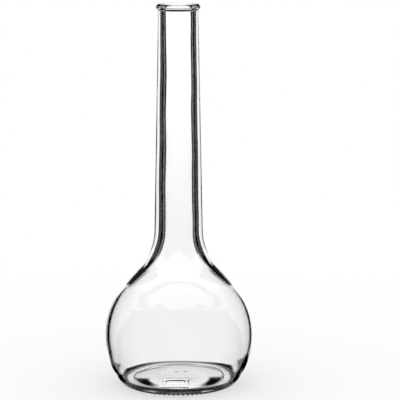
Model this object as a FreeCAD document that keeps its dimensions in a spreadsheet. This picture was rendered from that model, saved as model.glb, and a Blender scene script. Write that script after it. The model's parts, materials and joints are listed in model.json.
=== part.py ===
import FreeCAD, Part
import math
import os
import re
import Sketcher

# A long-necked round glass bottle with a beaded mouth, in millimetres. The bottle is one piece of
# moulded glass. It is built as the regions that its mould forms, each turned about Z and meeting its
# neighbours face to face: rim bead, neck, shoulder, bulb, base and foot ring. Z = 0 is the plane that
# the bottle stands on, and Z is the axis of every region.

SHEET = "Sizes"

# Driving dimensions. A radius is measured from the bottle's axis, and a level is a height above the
# table.
SIZES = {
    "overall_height": 245.0,
    "bead_radius": 14.0,  # the lip's greatest radius
    "bead_section": 2.0,  # radius of the lip's round section
    "crease_radius": 0.6,  # hollow between lip and neck
    "mouth_round": 1.2,  # rounding of the bore's top edge
    "bore_radius": 9.25,  # the cork bore is 18.5 mm across
    "bore_end_level": 215.0,  # the bore is a true cylinder down to here
    "rim_seam_level": 240.0,
    "neck_top_radius": 12.75,  # outside, at the rim seam
    "neck_foot_radius": 15.6,  # outside, at the shoulder seam
    "neck_foot_bore": 10.3,  # inside, at the shoulder seam
    "shoulder_seam_level": 100.0,
    "shoulder_sweep": 36.8,  # radius of the concave flare outside
    "inner_sweep": 36.0,  # radius of the same flare inside
    "bulb_seam_level": 62.0,
    "bulb_radius": 47.8,
    "bulb_wall": 2.3,
    "upper_centre_level": 32.0,  # centre of the bulb's upper half
    "lower_centre_level": 31.4,  # centre of the bulb's lower half
    "heel_seam_level": 9.0,
    "heel_radius": 7.8,
    "inner_heel_radius": 3.5,
    "floor_level": 4.2,  # lowest ring of the inside
    "floor_rise": 1.6,  # how far the floor domes up at the axis
    "foot_seam_level": 1.5,
    "foot_inner_radius": 29.5,  # inner edge of the ring at the table
    "foot_inner_slope": 1.0,  # how far that edge leans in by the foot seam
    "foot_outer_radius": 33.5,  # outer edge of the ring at the table
    "punt_height": 2.4,  # underside of the base at the axis
    "punt_flat_radius": 12.0,
    "plaque_width": 16.4,
    "plaque_length": 15.0,
    "plaque_corner": 1.5,
    "plaque_offset": 18.5,  # from the axis forward to the plaque's middle
    "plaque_shift": 2.0,  # and sideways
    "plaque_level": 1.2,  # its flat face
    "plaque_root": 1.6,  # how far the plaque's block reaches up into the base
    "panel_margin": 2.4,  # border round the plaque's sunk panel
    "panel_depth": 0.4,
    "stud_radius": 0.9,
    "stud_pitch": 6.0,  # between the two studs
    "stud_offset": 7.7,  # from the axis back to the studs
    "stud_level": 1.9,  # their flat faces
    "stud_root": 1.5,  # how far each reaches up into the base
    "groove_count": 72,
    "groove_depth": 0.9,
    "groove_width": 1.7,
}

START, END, CENTRE = 1, 2, 3  # a sketch element's named points
AXIS = "axis"  # a radius of nothing: the point lies on the bottle's axis
TABLE = "table"  # a level of nothing: the point lies on the plane that the bottle stands on
OWN_AXES = {AXIS: -2, TABLE: -1}  # a sketch's own vertical and horizontal axes

HEEL_CENTRE = (
    "sqrt((bulb_radius - heel_radius) ^ 2 - (lower_centre_level - heel_radius) ^ 2)"
)
INNER_RADIUS = "bulb_radius - bulb_wall"

doc = FreeCAD.newDocument("bottle")
sheet = doc.addObject("Spreadsheet::Sheet", SHEET)
for row, (alias, value) in enumerate(SIZES.items(), start=1):
    sheet.set(f"A{row}", alias)
    sheet.set(f"B{row}", str(value))
    sheet.setAlias(f"B{row}", alias)
doc.recompute()


def bound(text):
    """An expression with each size's name turned into a reference to its cell."""
    return re.sub(r"[a-z_]+", lambda word: named(word.group()), text)


def named(word):
    """A size's cell, or the word itself where it is a function's name."""
    return f"{SHEET}.{word}" if word in SIZES else word


def first_value(coordinate):
    """Where a coordinate starts: an expression's value, an axis, or a plain first guess."""
    if coordinate in OWN_AXES:
        return 0.0
    if isinstance(coordinate, str):
        return float(sheet.evalExpression(bound(coordinate)))
    return coordinate


def add_bound(sketch, expression, kind, *points):
    """A dimension whose value is bound to an expression."""
    value = first_value(expression)
    if kind == "Radius":
        index = sketch.addConstraint(Sketcher.Constraint(kind, *points, value))
    else:
        index = sketch.addConstraint(Sketcher.Constraint(kind, -1, START, *points, value))
    sketch.setExpression(f"Constraints[{index}]", bound(expression))


def place_point(sketch, element, point, place):
    """Bind each of a point's two coordinates that has an expression or lies on an axis."""
    for kind, coordinate in zip(("DistanceX", "DistanceY"), place):
        if coordinate in OWN_AXES:
            own_axis = OWN_AXES[coordinate]
            sketch.addConstraint(Sketcher.Constraint("PointOnObject", element, point, own_axis))
        elif isinstance(coordinate, str):
            add_bound(sketch, coordinate, kind, element, point)


def arc_between(first, last, centre):
    """The shorter arc from one point to another, and whether it starts at the first."""
    angles = [math.atan2(point[1] - centre[1], point[0] - centre[0]) for point in (first, last)]
    turn = (angles[1] - angles[0]) % (2 * math.pi)
    forward = turn < math.pi
    if not forward:
        angles.reverse()
    radius = math.dist(first, centre)
    circle = Part.Circle(FreeCAD.Vector(*centre, 0), FreeCAD.Vector(0, 0, 1), radius)
    return Part.ArcOfCircle(circle, *angles), forward


def draw_outline(sketch, corners, arcs, smooth=()):
    """A closed outline through the corners. arcs gives the centre, and the radius if it is a driving
    one, of each side that is round, by the corner it starts from. The sides that meet at a smooth
    corner are tangent there. A corner or centre coordinate is bound where it is text, and is a first
    guess, left to the sketch's other constraints, where it is a number."""
    spots = [tuple(first_value(c) for c in corner) for corner in corners]
    ends = []
    for i, spot in enumerate(spots):
        following = spots[(i + 1) % len(spots)]
        if i in arcs:
            centre, radius = arcs[i]
            shape, forward = arc_between(spot, following, tuple(first_value(c) for c in centre))
        else:
            points = [FreeCAD.Vector(x, z, 0) for x, z in (spot, following)]
            shape, forward = Part.LineSegment(*points), True
        element = sketch.addGeometry(shape, False)
        ends.append((START, END) if forward else (END, START))
        if i in arcs:
            place_point(sketch, element, CENTRE, centre)
            if radius:
                add_bound(sketch, radius, "Radius", element)
    for i, corner in enumerate(corners):
        before = (i - 1) % len(corners)
        kind = "Tangent" if i in smooth else "Coincident"
        sketch.addConstraint(Sketcher.Constraint(kind, before, ends[before][1], i, ends[i][0]))
        place_point(sketch, i, ends[i][0], corner)


def origin_plane(body, role):
    """One of a body's own origin planes."""
    return next(part for part in body.Origin.OriginFeatures if part.Role == role)


def new_sketch(body, name, role, level=None):
    """A sketch on one of a body's origin planes, raised along it to a level if one is given."""
    sketch = body.newObject("Sketcher::SketchObject", name)
    sketch.AttachmentSupport = (origin_plane(body, role), [""])
    sketch.MapMode = "FlatFace"
    if level:
        sketch.setExpression("AttachmentOffset.Base.z", bound(level))
    return sketch


def turned_body(label, corners, arcs, smooth=()):
    """A body turned about Z from an outline of radii and levels."""
    body = doc.addObject("PartDesign::Body", label)
    body.Label = label
    body.Placement = FreeCAD.Placement()
    sketch = new_sketch(body, f"{label}_outline", "XZ_Plane")
    draw_outline(sketch, corners, arcs, smooth)
    turn = body.newObject("PartDesign::Revolution", f"{label}_turned")
    turn.Profile = sketch
    turn.ReferenceAxis = (sketch, ["V_Axis"])
    turn.Angle = 360
    doc.recompute()
    assert sketch.FullyConstrained, label
    return body


def add_feature(body, kind, name, sketch, length, reversed_way):
    """A pad or pocket of a bound length, checked for having changed the body's volume."""
    before = body.Shape.Volume
    feature = body.newObject(kind, name)
    feature.Profile = sketch
    feature.setExpression("Length", bound(length))
    feature.Reversed = reversed_way
    doc.recompute()
    grew = body.Shape.Volume - before
    assert (grew > 0.1) == (kind == "PartDesign::Pad") and abs(grew) > 0.1, (name, grew)
    return feature


def rim_bead():
    """The rounded lip, with the hollow under it and the top of the cork bore."""
    section_centre = ("bead_radius - bead_section", "overall_height - bead_section")
    return turned_body(
        "rim_bead",
        corners=[
            ("bore_radius", "rim_seam_level"),
            ("neck_top_radius", "rim_seam_level"),
            ("neck_top_radius", 240.8),
            (13.04, 241.3),
            ("bead_radius - bead_section", 245.0),
            ("bore_radius + mouth_round", "overall_height"),
            ("bore_radius", "overall_height - mouth_round"),
        ],
        arcs={
            2: ((13.35, 240.8), "crease_radius"),
            3: (section_centre, "bead_section"),
            5: ((10.45, 243.8), "mouth_round"),
        },
        smooth=(2, 3),
    )


def neck():
    """The long tube. Its inside is a true cylinder for the cork, and then widens downwards."""
    return turned_body(
        "neck",
        corners=[
            ("neck_foot_bore", "shoulder_seam_level"),
            ("neck_foot_radius", "shoulder_seam_level"),
            ("neck_top_radius", "rim_seam_level"),
            ("bore_radius", "rim_seam_level"),
            ("bore_radius", "bore_end_level"),
        ],
        arcs={},
    )


def shoulder():
    """The flare: a concave sweep, a short cone and the top of the bulb's round, inside and out."""
    outer_lean = "(neck_foot_radius - neck_top_radius) / (rim_seam_level - shoulder_seam_level)"
    inner_lean = "(neck_foot_bore - bore_radius) / (bore_end_level - shoulder_seam_level)"
    bulb_centre = (AXIS, "upper_centre_level")
    return turned_body(
        "shoulder",
        corners=[
            ("neck_foot_bore", "shoulder_seam_level"),
            ("neck_foot_radius", "shoulder_seam_level"),
            (24.6, 76.7),
            (36.2, 63.2),
            (37.2, "bulb_seam_level"),
            (34.2, "bulb_seam_level"),
            (31.1, 65.2),
            (21.7, 74.0),
        ],
        arcs={
            1: ((52.4, f"shoulder_seam_level + shoulder_sweep * {outer_lean}"), "shoulder_sweep"),
            3: (bulb_centre, "bulb_radius"),
            5: (bulb_centre, INNER_RADIUS),
            7: ((46.3, f"shoulder_seam_level + inner_sweep * {inner_lean}"), "inner_sweep"),
        },
        smooth=(2, 3, 6, 7),
    )


def bulb():
    """The round body: two half rounds with a narrow straight band between them."""
    upper_centre = (AXIS, "upper_centre_level")
    lower_centre = (AXIS, "lower_centre_level")
    return turned_body(
        "bulb",
        corners=[
            (34.2, "bulb_seam_level"),
            (37.2, "bulb_seam_level"),
            (47.8, "upper_centre_level"),
            (47.8, "lower_centre_level"),
            (42.2, "heel_seam_level"),
            (39.6, "heel_seam_level"),
            (45.5, "lower_centre_level"),
            (45.5, "upper_centre_level"),
        ],
        arcs={
            1: (upper_centre, "bulb_radius"),
            3: (lower_centre, "bulb_radius"),
            5: (lower_centre, INNER_RADIUS),
            7: (upper_centre, INNER_RADIUS),
        },
    )


def base():
    """The floor: the heel outside, the domed floor inside and the pushed-up underside."""
    lower_centre = (AXIS, "lower_centre_level")
    body = turned_body(
        "base",
        corners=[
            (42.2, "heel_seam_level"),
            (38.6, 3.2),
            (36.9, "foot_seam_level"),
            ("foot_inner_radius - foot_inner_slope", "foot_seam_level"),
            ("punt_flat_radius", "punt_height"),
            (AXIS, "punt_height"),
            (AXIS, "floor_level + floor_rise"),
            (34.3, 4.2),
            (37.6, 5.7),
            (39.6, "heel_seam_level"),
        ],
        arcs={
            0: (lower_centre, "bulb_radius"),
            1: ((32.3, "heel_radius"), "heel_radius"),
            3: (("punt_flat_radius", -149.3), None),
            6: ((AXIS, -367.0), None),
            7: ((34.7, "floor_level + inner_heel_radius"), "inner_heel_radius"),
            8: (lower_centre, INNER_RADIUS),
        },
        smooth=(1, 7, 8),
    )
    add_plaque(body)
    add_studs(body)
    return body


def rounded_rectangle(sketch, width, length, corner, shift, offset):
    """A rounded rectangle centred at minus the shift and minus the offset on the sketch's axes."""
    right = f"-({shift}) + ({width}) / 2"
    left = f"-({shift}) - ({width}) / 2"
    near = f"-({offset}) - ({length}) / 2"
    far = f"-({offset}) + ({length}) / 2"
    corners = [
        (f"{right} - ({corner})", near),
        (right, f"{near} + ({corner})"),
        (right, f"{far} - ({corner})"),
        (f"{right} - ({corner})", far),
        (f"{left} + ({corner})", far),
        (left, f"{far} - ({corner})"),
        (left, f"{near} + ({corner})"),
        (f"{left} + ({corner})", near),
    ]
    arcs = {}
    for i, (x_from, z_from) in ((0, (0, 1)), (2, (3, 2)), (4, (4, 5)), (6, (7, 6))):
        centre = (first_value(corners[x_from][0]), first_value(corners[z_from][1]))
        arcs[i] = (centre, corner)
    draw_outline(sketch, corners, arcs)


def add_plaque(body):
    """The plain raised plaque on the underside, with a sunk panel inside its border."""
    level = "plaque_level"
    block = new_sketch(body, "plaque_outline", "XY_Plane", level)
    place = ("plaque_corner", "plaque_shift", "plaque_offset")
    rounded_rectangle(block, "plaque_width", "plaque_length", *place)
    add_feature(body, "PartDesign::Pad", "plaque", block, "plaque_root", False)
    panel = new_sketch(body, "panel_outline", "XY_Plane", level)
    width, length = (f"plaque_{side} - 2 * panel_margin" for side in ("width", "length"))
    rounded_rectangle(panel, width, length, *place)
    add_feature(body, "PartDesign::Pocket", "panel", panel, "panel_depth", True)


def add_studs(body):
    """Two small plain studs on the underside, behind the plaque."""
    studs = new_sketch(body, "studs_outline", "XY_Plane", "stud_level")
    for side in ("-plaque_shift", "stud_pitch - plaque_shift"):
        place = (first_value(side), first_value("stud_offset"))
        circle = Part.Circle(FreeCAD.Vector(*place, 0), FreeCAD.Vector(0, 0, 1), SIZES["stud_radius"])
        element = studs.addGeometry(circle, False)
        place_point(studs, element, CENTRE, (side, "stud_offset"))
        add_bound(studs, "stud_radius", "Radius", element)
    add_feature(body, "PartDesign::Pad", "studs", studs, "stud_root", False)


def groove(index):
    """One groove: a wedge that lies on the table along a radius, with its sharp edge up. It starts
    outside the radius where neighbouring wedges would meet."""
    wedge = doc.addObject("Part::Wedge", f"groove_{index}")
    wedge.setExpression("Xmin", bound("-groove_width / 2"))
    wedge.setExpression("Xmax", bound("groove_width / 2"))
    wedge.Ymin = 0
    wedge.setExpression("Ymax", bound("groove_depth"))
    wedge.X2min = wedge.X2max = 0
    for near_end, far_end in (("Zmin", "Zmax"), ("Z2min", "Z2max")):
        wedge.setExpression(near_end, bound("foot_inner_radius - 2 * foot_inner_slope"))
        wedge.setExpression(far_end, bound("bulb_radius"))
    turn = (index + 0.5) * 360 / SIZES["groove_count"]  # a rib, not a groove, lies on +X
    wedge.Placement = FreeCAD.Placement(FreeCAD.Vector(), FreeCAD.Rotation(turn, 0, 90))
    return wedge


def foot_ring():
    """The bearing ring that the bottle stands on, cut across by a ring of short grooves."""
    heel_at_seam = f"{HEEL_CENTRE} + sqrt(heel_radius ^ 2 - (heel_radius - foot_seam_level) ^ 2)"
    blank = turned_body(
        "foot_ring_blank",
        corners=[
            ("foot_inner_radius - foot_inner_slope", "foot_seam_level"),
            ("foot_inner_radius", TABLE),
            ("foot_outer_radius", TABLE),
            (heel_at_seam, "foot_seam_level"),
        ],
        arcs={},
    )
    grooves = doc.addObject("Part::Compound", "grooves")
    grooves.Links = [groove(i) for i in range(SIZES["groove_count"])]
    ring = doc.addObject("Part::Cut", "foot_ring")
    ring.Label = "foot_ring"
    ring.Base = blank
    ring.Tool = grooves
    doc.recompute()
    assert 0.7 < ring.Shape.Volume / blank.Shape.Volume < 0.95, ring.Shape.Volume
    return ring


REGIONS = [rim_bead(), neck(), shoulder(), bulb(), base(), foot_ring()]
doc.recompute()
for item in doc.Objects:
    assert not {"Invalid", "Error"} & set(item.State), (item.Label, item.State)
for region in REGIONS:
    assert not region.Shape.isNull() and region.Shape.isValid(), region.Label
    assert len(region.Shape.Solids) == 1, region.Label
    box = region.Shape.optimalBoundingBox()
    reach = [round(side, 2) for side in (box.XMax, box.ZMin, box.ZMax)]
    print(region.Label, round(region.Shape.Volume), "cubic mm", reach)

os.makedirs("parts", exist_ok=True)
for region in REGIONS:
    region.Shape.exportStep(f"parts/{region.Label}.step")
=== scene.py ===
import json
import math

import bmesh
import bpy
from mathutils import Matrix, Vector


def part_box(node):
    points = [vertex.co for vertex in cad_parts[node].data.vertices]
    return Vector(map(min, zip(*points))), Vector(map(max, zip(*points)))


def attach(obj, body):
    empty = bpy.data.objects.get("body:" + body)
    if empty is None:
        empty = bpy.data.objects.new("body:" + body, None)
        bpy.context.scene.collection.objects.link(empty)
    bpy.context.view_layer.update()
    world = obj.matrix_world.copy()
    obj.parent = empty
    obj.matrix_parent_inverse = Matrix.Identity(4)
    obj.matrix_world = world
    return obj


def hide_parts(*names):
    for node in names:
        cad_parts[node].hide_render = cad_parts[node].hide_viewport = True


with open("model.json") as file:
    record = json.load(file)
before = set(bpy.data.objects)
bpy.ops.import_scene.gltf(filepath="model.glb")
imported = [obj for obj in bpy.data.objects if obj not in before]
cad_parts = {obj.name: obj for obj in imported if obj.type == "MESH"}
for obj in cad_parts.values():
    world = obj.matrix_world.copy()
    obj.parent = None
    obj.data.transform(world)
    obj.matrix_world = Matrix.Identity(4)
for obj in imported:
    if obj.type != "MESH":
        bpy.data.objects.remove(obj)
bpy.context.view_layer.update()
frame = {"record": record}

# Metres, in the CAD frame: Z is the bottle's axis, Z = 0 is the table, and the camera looks from -Y.
MM = 0.001

# ---------------------------------------------------------------- sizes, from the frame where it has them

BULB_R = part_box("bulb")[1].x
MOUTH_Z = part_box("rim_bead")[1].z
BEAD_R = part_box("rim_bead")[1].x
RIM_SEAM_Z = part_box("neck")[1].z
NECK_FOOT_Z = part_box("neck")[0].z
NECK_FOOT_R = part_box("neck")[1].x
BORE_R = next(m for m in frame["record"]["mounts"] if m["name"] == "mouth")["dims"]["r_mm"] * MM

NECK_TOP_R = 12.75 * MM
BEAD_SECTION = 2 * MM
CREASE_R = 0.6 * MM
MOUTH_ROUND = 1.2 * MM
BORE_END_Z = 215 * MM
NECK_FOOT_BORE = 10.3 * MM
SWEEP_R = 36.8 * MM  # concave flare of the shoulder, outside
INNER_SWEEP_R = 36 * MM
WALL = 2.3 * MM
UPPER_Z = 32 * MM  # centres of the bulb's two halves
LOWER_Z = 31.4 * MM
HEEL_R = 7.8 * MM
INNER_HEEL_R = 3.5 * MM
FLOOR_Z = 4.2 * MM
FLOOR_RISE = 1.6 * MM
FOOT_INNER_R = 29.5 * MM
FOOT_SLOPE = 1 * MM
FOOT_SEAM_Z = 1.5 * MM
PUNT_Z = 2.4 * MM
PUNT_FLAT_R = 12 * MM

HEEL_X = math.sqrt((BULB_R - HEEL_R) ** 2 - (LOWER_Z - HEEL_R) ** 2)  # centre of the heel's round

RIBS = 72
RIB_DEPTH = 0.9 * MM
PLAQUE_X, PLAQUE_Y = -2 * MM, -18.5 * MM
PLAQUE_HALF = (8.2 * MM, 7.5 * MM)  # half its width and half its length
PLAQUE_CORNER = 1.5 * MM
PLAQUE_DROP = 0.25 * MM  # how far the plaque stands down from the underside
PANEL_SHIFT = 2.4 * MM  # how far the sunk panel lies behind the plaque's middle
PANEL_HALF = (5.8 * MM, 2.7 * MM)
PANEL_CORNER = 1.6 * MM
PANEL_DEPTH = 0.4 * MM
STUDS = ((-1.8 * MM, 7.7 * MM), (4.2 * MM, 7.7 * MM))
STUD_DROP = 0.7 * MM

BUBBLE_PLACE = (46.2 * MM, -2 * MM, 25.5 * MM)
BUBBLE_RADII = (0.45 * MM, 0.5 * MM, 0.8 * MM)

SIDES = 144  # sides of most rings
FINE_SIDES = 576  # sides of the rings that carry the ribs and the plaque
FINE_OUTER = 25  # how many of the outside's first rings are fine: most of the heel

CLOSE_CARD = 0.9  # a card's distance from the origin, in metres
FAR_CARD = 6
TABLE_RADIUS = 12
TABLE_BRIGHTNESS = 1.08  # of the painted light on the table that the glass sees
FAR_GAIN = 0.2  # how much brighter that painted light is at its far end
LIGHT_POOL_BRIGHTNESS = 1.3  # of the painted pool of light under the bottle, against the rest of that table


# ---------------------------------------------------------------- camera


def look_at(camera, target):
    """Turn a camera so that it looks at a point."""
    camera.rotation_euler = (Vector(target) - camera.location).to_track_quat("-Z", "Y").to_euler()


def make_camera():
    """A long lens a little above the bottle's middle, with the bottle left of the frame's centre."""
    distance = 1.22
    elevation = math.radians(9.95)
    target = Vector((13.7 * MM, 0, 119.9 * MM))
    data = bpy.data.cameras.new("camera")
    camera = bpy.data.objects.new("camera", data)
    bpy.context.collection.objects.link(camera)
    camera.location = target + distance * Vector((0, -math.cos(elevation), math.sin(elevation)))
    look_at(camera, target)
    data.sensor_width = 36
    data.lens = 36 * distance / (255.6 * MM)
    bpy.context.scene.camera = camera
    return camera


camera = make_camera()

# ---------------------------------------------------------------- outlines


def arc(centre, radius, start, end, count):
    """Points on an arc from one angle to another, both ends included, angles in radians."""
    return [
        (centre[0] + radius * math.cos(a), centre[1] + radius * math.sin(a))
        for a in (start + (end - start) * i / count for i in range(count + 1))
    ]


def line(first, last, count):
    """Points on a straight line, both ends included."""
    return [
        tuple(a + (b - a) * i / count for a, b in zip(first, last)) for i in range(count + 1)
    ]


def crossing_tangent(round_z, round_radius, sweep_centre, sweep_radius):
    """The angle of the normal to the line that leaves a round on the axis and enters a sweep."""
    dx, dz = sweep_centre[0], sweep_centre[1] - round_z
    lean = math.acos((round_radius + sweep_radius) / math.hypot(dx, dz))
    return math.atan2(dz, dx) - lean


def join(*runs):
    """One list of points from several runs, leaving out each point that repeats the last."""
    points = []
    for run in runs:
        for point in run:
            if not points or math.dist(points[-1], point) > 1e-7:
                points.append(point)
    return points


def flare(round_z, round_radius, foot_radius, sweep_radius, slope, counts):
    """From the bulb's upper half up to the neck's foot: round, straight and concave sweep."""
    lean = math.atan(slope)
    centre = (
        foot_radius + sweep_radius * math.cos(lean),
        NECK_FOOT_Z + sweep_radius * math.sin(lean),
    )
    angle = crossing_tangent(round_z, round_radius, centre, sweep_radius)
    upper = arc((0, round_z), round_radius, 0, angle, counts[0])
    sweep = arc(centre, sweep_radius, math.pi + angle, math.pi + lean, counts[2])
    return join(upper, line(upper[-1], sweep[0], counts[1]), sweep)


def outer_outline():
    """Outside, from the foot ring up to the middle of the mouth's rounding."""
    heel_angle = math.atan2(HEEL_R - LOWER_Z, HEEL_X)
    slope = (NECK_FOOT_R - NECK_TOP_R) / (RIM_SEAM_Z - NECK_FOOT_Z)
    bead = (BEAD_R - BEAD_SECTION, MOUTH_Z - BEAD_SECTION)
    crease_x = NECK_TOP_R + CREASE_R
    reach = BEAD_SECTION + CREASE_R
    crease = (crease_x, bead[1] - math.sqrt(reach**2 - (crease_x - bead[0]) ** 2))
    meet = math.atan2(crease[1] - bead[1], crease[0] - bead[0])
    mouth = (BORE_R + MOUTH_ROUND, MOUTH_Z - MOUTH_ROUND)
    return join(
        arc((HEEL_X, HEEL_R), HEEL_R, -math.pi / 2, heel_angle, 26),
        arc((0, LOWER_Z), BULB_R, heel_angle, 0, 30),
        line((BULB_R, LOWER_Z), (BULB_R, UPPER_Z), 2),
        flare(UPPER_Z, BULB_R, NECK_FOOT_R, SWEEP_R, slope, (30, 6, 24)),
        line((NECK_FOOT_R, NECK_FOOT_Z), (NECK_TOP_R, RIM_SEAM_Z), 20),
        line((NECK_TOP_R, RIM_SEAM_Z), (NECK_TOP_R, crease[1]), 2),
        arc(crease, CREASE_R, math.pi, math.pi + meet, 5),
        arc(bead, BEAD_SECTION, meet, math.pi / 2, 16),
        line((bead[0], MOUTH_Z), (mouth[0], MOUTH_Z), 2),
        arc(mouth, MOUTH_ROUND, math.pi / 2, math.pi, 8),
    )


def inner_outline():
    """Inside, from the mouth's rounding down to the lowest ring of the floor's dome."""
    inner_r = BULB_R - WALL
    slope = (NECK_FOOT_BORE - BORE_R) / (BORE_END_Z - NECK_FOOT_Z)
    heel_z = FLOOR_Z + INNER_HEEL_R
    heel_x = math.sqrt((inner_r - INNER_HEEL_R) ** 2 - (LOWER_Z - heel_z) ** 2)
    heel_angle = math.atan2(heel_z - LOWER_Z, heel_x)
    top = FLOOR_Z + FLOOR_RISE
    dome_angle = dome_meeting(heel_x, heel_z, top)
    upper = flare(UPPER_Z, inner_r, NECK_FOOT_BORE, INNER_SWEEP_R, slope, (30, 6, 24))
    dome_r = dome_radius(heel_x, heel_z, top)
    return join(
        line((BORE_R, MOUTH_Z - MOUTH_ROUND), (BORE_R, BORE_END_Z), 10),
        line((BORE_R, BORE_END_Z), (NECK_FOOT_BORE, NECK_FOOT_Z), 46),
        upper[::-1],
        line((inner_r, UPPER_Z), (inner_r, LOWER_Z), 2),
        arc((0, LOWER_Z), inner_r, 0, heel_angle, 30),
        arc((heel_x, heel_z), INNER_HEEL_R, heel_angle, dome_angle - math.pi, 14),
        arc((0, top - dome_r), dome_r, dome_angle, math.pi / 2, 20)[:-1],
    )


def dome_radius(heel_x, heel_z, top):
    """Radius of the dome on the axis that the inner heel's round runs into."""
    drop = top - heel_z
    return (heel_x**2 + drop**2 - INNER_HEEL_R**2) / (2 * (drop + INNER_HEEL_R))


def dome_meeting(heel_x, heel_z, top):
    """The angle on the dome, from its centre, where it meets the inner heel's round."""
    centre = top - dome_radius(heel_x, heel_z, top)
    return math.atan2(heel_z - centre, heel_x)


def under_outline():
    """The underside, from beside the axis out to the foot ring."""
    rise = PUNT_Z - FOOT_SEAM_Z
    run = FOOT_INNER_R - FOOT_SLOPE - PUNT_FLAT_R
    punt_r = (run**2 + rise**2) / (2 * rise)
    end = math.atan2(punt_r - rise, run)
    return join(
        line((1 * MM, PUNT_Z), (PUNT_FLAT_R, PUNT_Z), 22),
        arc((PUNT_FLAT_R, PUNT_Z - punt_r), punt_r, math.pi / 2, end, 28),
        line((FOOT_INNER_R - FOOT_SLOPE, FOOT_SEAM_Z), (FOOT_INNER_R, 0), 5),
        line((FOOT_INNER_R, 0), (HEEL_X, 0), 6),
    )


# ---------------------------------------------------------------- surface relief


def smooth_step(low, high, value):
    """0 below low, 1 above high, and smooth between."""
    t = min(max((value - low) / (high - low), 0), 1)
    return t * t * (3 - 2 * t)


def rib_lift(radius, height, angle):
    """How far a groove lifts the surface of the foot ring."""
    band = smooth_step(28.1 * MM, 29.1 * MM, radius)
    low = 1 - smooth_step(0.8 * MM, 2.8 * MM, height)
    wave = 0.5 - 0.5 * math.cos(RIBS * angle)
    return RIB_DEPTH * band * low * wave


def inside_wave(radius, height, angle):
    """How far the blown inside wanders from true: off centre towards +X, and gently wavy in the neck."""
    neck = smooth_step(70 * MM, 110 * MM, height) * (1 - smooth_step(225 * MM, 240 * MM, height))
    bulb = smooth_step(10 * MM, 25 * MM, height) * (1 - smooth_step(60 * MM, 90 * MM, height))
    long_wave = 0.07 * MM * math.sin(height / (7.5 * MM) + angle)
    short_wave = 0.01 * MM * math.sin(height / (3.4 * MM) - 2 * angle + 1.3)
    off_centre = (0.1 * MM * neck + 0.35 * MM * bulb) * math.cos(angle)
    return (long_wave + short_wave) * neck + off_centre


def box_distance(x, y, half, corner):
    """Distance outside a rounded rectangle's edge, negative inside it."""
    dx = abs(x) - half[0] + corner
    dy = abs(y) - half[1] + corner
    return math.hypot(max(dx, 0), max(dy, 0)) + min(max(dx, dy), 0) - corner


def plaque_drop(x, y):
    """How far the plaque with its sunk panel, and the two studs, stand down from the underside."""
    across, along = x - PLAQUE_X, y - PLAQUE_Y
    from_plate = box_distance(across, along, PLAQUE_HALF, PLAQUE_CORNER)
    from_panel = box_distance(across, along - PANEL_SHIFT, PANEL_HALF, PANEL_CORNER)
    plate = 1 - smooth_step(-0.6 * MM, 0.6 * MM, from_plate)
    panel = 1 - smooth_step(-0.25 * MM, 0.3 * MM, from_panel)
    studs = sum(1 - smooth_step(0.6 * MM, 1.3 * MM, math.dist((x, y), stud)) for stud in STUDS)
    return PLAQUE_DROP * plate - PANEL_DEPTH * panel + STUD_DROP * studs


# ---------------------------------------------------------------- mesh


def new_object(name, mesh, material):
    """An object in the scene from a bmesh, with one material."""
    data = bpy.data.meshes.new(name)
    mesh.to_mesh(data)
    mesh.free()
    data.materials.append(material)
    made = bpy.data.objects.new(name, data)
    bpy.context.collection.objects.link(made)
    return made


def add_ring(mesh, radius, height, sides, shape):
    """A ring of vertices round the axis, moved by a relief function."""
    verts = []
    for i in range(sides):
        angle = 2 * math.pi * i / sides
        verts.append(mesh.verts.new(shape(radius, height, angle)))
    return verts


def plain(radius, height, angle):
    """A true circle."""
    return (radius * math.cos(angle), radius * math.sin(angle), height)


def ribbed(radius, height, angle):
    """The underside and foot ring, with the ribs, the plaque and the studs."""
    x, y = radius * math.cos(angle), radius * math.sin(angle)
    height += rib_lift(radius, height, angle) - plaque_drop(x, y)
    return (x, y, max(height, 0))


def waved(radius, height, angle):
    """The inside, with its waves."""
    radius += inside_wave(radius, height, angle)
    return plain(radius, height, angle)


def bridge(mesh, first, last):
    """Faces between two rings, whose numbers of sides may differ by a whole factor."""
    if len(first) > len(last):
        few, many, turn = last, first, -1
    else:
        few, many, turn = first, last, 1
    share = len(many) // len(few)
    for i, vert in enumerate(few):
        following = few[(i + 1) % len(few)]
        fine = [many[(i * share + k) % len(many)] for k in range(share + 1)]
        if share == 1:
            faces = [(vert, following, fine[1], fine[0])]
        else:
            half = share // 2
            faces = [(vert, fine[k + 1], fine[k]) for k in range(half)]
            faces.append((vert, following, fine[half]))
            faces += [(following, fine[k + 1], fine[k]) for k in range(half, share)]
        for face in faces:
            mesh.faces.new(face[::turn])


def close_ring(mesh, ring, height, turn):
    """A fan that closes a ring at the axis."""
    tip = mesh.verts.new((0, 0, height))
    for i, vert in enumerate(ring):
        mesh.faces.new((tip, vert, ring[(i + 1) % len(ring)])[::turn])


def add_bubble(mesh, centre, radii):
    """A seed: an air bubble in the wall. Its faces look away from the glass, into the bubble."""
    found = bmesh.ops.create_icosphere(mesh, subdivisions=3, radius=1)
    for vert in found["verts"]:
        vert.co = Vector(centre) + Vector(c * r for c, r in zip(vert.co, radii))
    faces = {face for vert in found["verts"] for face in vert.link_faces}
    bmesh.ops.reverse_faces(mesh, faces=list(faces))


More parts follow.
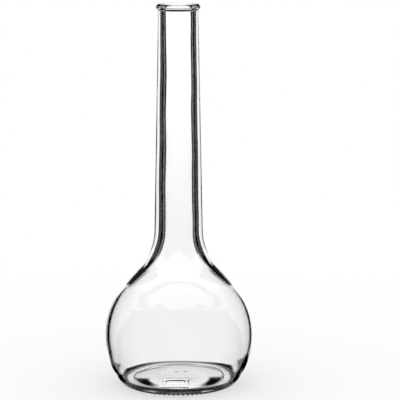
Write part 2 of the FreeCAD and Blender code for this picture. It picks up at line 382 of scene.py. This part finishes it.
def make_bottle():
    """The whole bottle as one closed skin of glass, inside and out."""
    mesh = bmesh.new()
    under = under_outline()
    outer = outer_outline()
    rings = [add_ring(mesh, r, z, FINE_SIDES, ribbed) for r, z in join(under, outer[:FINE_OUTER])]
    rings += [add_ring(mesh, r, z, SIDES, plain) for r, z in outer[FINE_OUTER:]]
    rings += [add_ring(mesh, r, z, SIDES, waved) for r, z in inner_outline()[1:]]
    for first, last in zip(rings, rings[1:]):
        bridge(mesh, first, last)
    close_ring(mesh, rings[0], PUNT_Z, -1)
    close_ring(mesh, rings[-1], FLOOR_Z + FLOOR_RISE, 1)
    bmesh.ops.recalc_face_normals(mesh, faces=mesh.faces)
    add_bubble(mesh, BUBBLE_PLACE, BUBBLE_RADII)
    bottle = new_object("bottle", mesh, glass_material())
    bottle.data.shade_smooth()
    return bottle


# ---------------------------------------------------------------- materials


def glass_material():
    """Clear moulded glass: faint tint changes, and a slight ripple left by the mould."""
    material = bpy.data.materials.new("clear_glass")
    material.use_nodes = True
    nodes, links = material.node_tree.nodes, material.node_tree.links
    shader = nodes["Principled BSDF"]
    shader.inputs["Transmission Weight"].default_value = 1
    shader.inputs["IOR"].default_value = 1.52
    shader.inputs["Roughness"].default_value = 0
    where = nodes.new("ShaderNodeTexCoord")
    tint = nodes.new("ShaderNodeTexNoise")
    tint.inputs["Scale"].default_value = 18
    ramp = nodes.new("ShaderNodeValToRGB")
    ramp.color_ramp.elements[0].color = (0.982, 0.977, 0.981, 1)
    ramp.color_ramp.elements[1].color = (0.993, 0.989, 0.992, 1)
    links.new(where.outputs["Object"], tint.inputs["Vector"])
    links.new(tint.outputs["Fac"], ramp.inputs["Fac"])
    links.new(ramp.outputs["Color"], shader.inputs["Base Color"])
    ripple = nodes.new("ShaderNodeTexNoise")
    ripple.inputs["Scale"].default_value = 90
    ripple.inputs["Detail"].default_value = 1
    bump = nodes.new("ShaderNodeBump")
    bump.inputs["Strength"].default_value = 0.05
    bump.inputs["Distance"].default_value = 0.1 * MM
    links.new(where.outputs["Object"], ripple.inputs["Vector"])
    links.new(ripple.outputs["Fac"], bump.inputs["Height"])
    links.new(bump.outputs["Normal"], shader.inputs["Normal"])
    return material


def floor_material():
    """A pale, evenly lit table: mostly its own even light, so that shadows on it stay faint."""
    material = bpy.data.materials.new("pale_floor")
    material.use_nodes = True
    nodes, links = material.node_tree.nodes, material.node_tree.links
    shader = nodes["Principled BSDF"]
    shader.inputs["Base Color"].default_value = (0.93, 0.91, 0.915, 1)
    shader.inputs["Roughness"].default_value = 1
    shader.inputs["Specular IOR Level"].default_value = 0
    glow = nodes.new("ShaderNodeEmission")
    glow.inputs["Color"].default_value = (1, 1, 1, 1)
    glow.inputs["Strength"].default_value = 1
    mix = nodes.new("ShaderNodeMixShader")
    where = nodes.new("ShaderNodeTexCoord")
    length = nodes.new("ShaderNodeVectorMath")
    length.operation = "LENGTH"
    fade = nodes.new("ShaderNodeMapRange")
    fade.interpolation_type = "SMOOTHSTEP"
    fade.inputs["From Min"].default_value = 0.04
    fade.inputs["From Max"].default_value = 0.4
    fade.inputs["To Min"].default_value = 0.6
    links.new(where.outputs["Object"], length.inputs[0])
    links.new(length.outputs["Value"], fade.inputs["Value"])
    links.new(fade.outputs["Result"], mix.inputs["Fac"])
    links.new(shader.outputs[0], mix.inputs[1])
    links.new(glow.outputs[0], mix.inputs[2])
    links.new(mix.outputs[0], nodes["Material Output"].inputs["Surface"])
    return material


def ground_material():
    """What the glass sees of the table, all painted light and painted shade: a white strip of painted
    light that widens towards the back, a white flank on each side, and a white pool of painted light
    under the bottle with two black wedges of painted shade in it. The rest is black."""
    material = bpy.data.materials.new("ground_light")
    material.use_nodes = True
    nodes, links = material.node_tree.nodes, material.node_tree.links
    where = nodes.new("ShaderNodeTexCoord")
    part = nodes.new("ShaderNodeSeparateXYZ")
    links.new(where.outputs["Object"], part.inputs[0])

    def math_node(operation, *values):
        """One sum on numbers or on the outputs of other nodes."""
        node = nodes.new("ShaderNodeMath")
        node.operation = operation
        for socket, value in zip(node.inputs, values):
            if isinstance(value, (int, float)):
                socket.default_value = value
            else:
                links.new(value, socket)
        return node.outputs[0]

    def edge(value, low, high):
        """0 at low and 1 at high, and smooth between. Low may be the larger number."""
        node = nodes.new("ShaderNodeMapRange")
        node.interpolation_type = "SMOOTHSTEP"
        node.inputs["From Min"].default_value = low
        node.inputs["From Max"].default_value = high
        links.new(value, node.inputs["Value"])
        return node.outputs["Result"]

    def distance(x_from, y_from):
        """Distance from a point of the table."""
        node = nodes.new("ShaderNodeVectorMath")
        node.operation = "DISTANCE"
        node.inputs[1].default_value = (x_from, y_from, 0)
        links.new(where.outputs["Object"], node.inputs[0])
        return node.outputs["Value"]

    def product(*values):
        """All the values multiplied together."""
        result = values[0]
        for value in values[1:]:
            result = math_node("MULTIPLY", result, value)
        return result

    x, y = part.outputs["X"], part.outputs["Y"]
    beside = math_node("ABSOLUTE", x)
    middle = distance(0, 0)
    # The strip's far part widens, and its near edge bends round the heel. The flanks fill in beside it.
    aside = math_node("SUBTRACT", beside, product(y, 0.35))
    across = product(x, 0.72)
    oval = math_node("SQRT", math_node("MULTIPLY_ADD", across, across, product(y, y)))
    behind = edge(y, 4 * MM, 12 * MM)
    close = edge(beside, 47 * MM, 43 * MM)
    clear = math_node("MAXIMUM", close, edge(y, 36 * MM, 42 * MM))
    strip = product(edge(aside, 62 * MM, 42 * MM), edge(oval, 38 * MM, 43 * MM), behind, clear)
    flank = product(edge(beside, 36 * MM, 40 * MM), behind, close)
    # The wedges of painted shade lie on a ring at the front, cut off at the middle. The pool of painted
    # light under the bottle is what two discs share.
    shade_wedge_ring = product(edge(middle, 18 * MM, 21 * MM), edge(middle, 30 * MM, 27 * MM))
    shade_wedge_span = product(edge(y, 5 * MM, -2 * MM), edge(y, -23 * MM, -17 * MM))
    shade_wedge = product(shade_wedge_ring, shade_wedge_span, edge(beside, 10 * MM, 19 * MM))
    near_disc = edge(middle, 34.5 * MM, 32.5 * MM)
    back_disc = edge(distance(0, 14 * MM), 42 * MM, 39 * MM)
    light_pool = product(near_disc, back_disc, LIGHT_POOL_BRIGHTNESS, math_node("SUBTRACT", 1, shade_wedge))
    light = math_node("MAXIMUM", math_node("MAXIMUM", strip, flank), light_pool)
    brightness = math_node("MULTIPLY_ADD", edge(y, 0.1, 1.5), FAR_GAIN, TABLE_BRIGHTNESS)
    glow = nodes.new("ShaderNodeEmission")
    links.new(product(light, brightness), glow.inputs["Strength"])
    links.new(glow.outputs[0], nodes["Material Output"].inputs["Surface"])
    return material


def glow_material(name, brightness):
    """A plain card of one brightness."""
    material = bpy.data.materials.new(name)
    material.use_nodes = True
    nodes, links = material.node_tree.nodes, material.node_tree.links
    glow = nodes.new("ShaderNodeEmission")
    glow.inputs["Color"].default_value = (brightness, brightness, brightness, 1)
    links.new(glow.outputs[0], nodes["Material Output"].inputs["Surface"])
    return material


# ---------------------------------------------------------------- studio


def make_disc(name, level, material):
    """A wide round sheet of table, not part of the bottle."""
    mesh = bmesh.new()
    bmesh.ops.create_circle(mesh, cap_ends=True, segments=96, radius=TABLE_RADIUS)
    disc = new_object(name, mesh, material)
    disc.location.z = level
    return disc


def hide_from_eye(thing):
    """Only light that has met the glass sees this."""
    thing.visible_camera = False
    thing.visible_diffuse = False
    thing.visible_shadow = False


def make_table(rig):
    """The table twice over: once for the eye and the shadows, once for the light in the glass."""
    floor = make_disc("floor", -0.02 * MM, floor_material())
    floor.visible_glossy = False
    floor.visible_transmission = False
    ground = make_disc("ground", -0.03 * MM, ground_material())
    ground.parent = rig
    hide_from_eye(ground)


def make_rig():
    """A turntable for the cards and the ground: it turns about the bottle's axis to face the camera."""
    rig = bpy.data.objects.new("card_rig", None)
    bpy.context.collection.objects.link(rig)
    track = rig.constraints.new("LOCKED_TRACK")
    track.target = camera
    track.track_axis = "TRACK_NEGATIVE_Y"
    track.lock_axis = "LOCK_Z"
    return rig


def make_card(name, rig, radius, azimuths, elevations, brightness):
    """A patch of a dome round the origin, between two azimuths and two elevations in degrees. Azimuth
    counts from straight behind the bottle, as the camera sees it, towards its right."""
    steps = 24
    mesh = bmesh.new()
    rows = []
    for i in range(steps + 1):
        azimuth = math.radians(azimuths[0] + (azimuths[1] - azimuths[0]) * i / steps)
        row = []
        for k in range(steps + 1):
            elevation = math.radians(elevations[0] + (elevations[1] - elevations[0]) * k / steps)
            reach = radius * math.cos(elevation)
            place = (reach * math.sin(azimuth), reach * math.cos(azimuth), radius * math.sin(elevation))
            row.append(mesh.verts.new(place))
        rows.append(row)
    for first, last in zip(rows, rows[1:]):
        for k in range(steps):
            mesh.faces.new((first[k], last[k], last[k + 1], first[k + 1]))
    card = new_object(name, mesh, glow_material(name, brightness))
    card.parent = rig
    hide_from_eye(card)


def make_studio():
    """White surroundings, black cards close beside the bottle, a dark room on the near side, and a dark
    ceiling with a dark card under it and a grey room over it, far away."""
    world = bpy.data.worlds.new("studio")
    bpy.context.scene.world = world
    world.use_nodes = True
    back = world.node_tree.nodes["Background"]
    back.inputs["Color"].default_value = (1, 1, 1, 1)
    back.inputs["Strength"].default_value = 1.05
    rig = make_rig()
    make_table(rig)
    make_card("left_card", rig, CLOSE_CARD, (-25, -95), (0, 24), 0.003)
    make_card("right_card", rig, CLOSE_CARD, (25, 95), (0, 24), 0.003)
    make_card("near_room", rig, CLOSE_CARD, (95, 265), (0, 89), 0.004)
    make_card("ceiling", rig, FAR_CARD, (-95, 95), (16, 30), 0.01)
    make_card("upper_room", rig, FAR_CARD, (-95, 95), (30, 89), 0.25)
    make_card("back_card", rig, FAR_CARD, (-16, 16), (9, 17), 0.03)


def main():
    """Build the studio and the bottle, and tie the bottle to the frame."""
    make_studio()
    bottle = make_bottle()
    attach(bottle, "root")
    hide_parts("rim_bead", "neck", "shoulder", "bulb", "base", "foot_ring")
    bpy.context.scene.view_settings.view_transform = "Standard"


main()
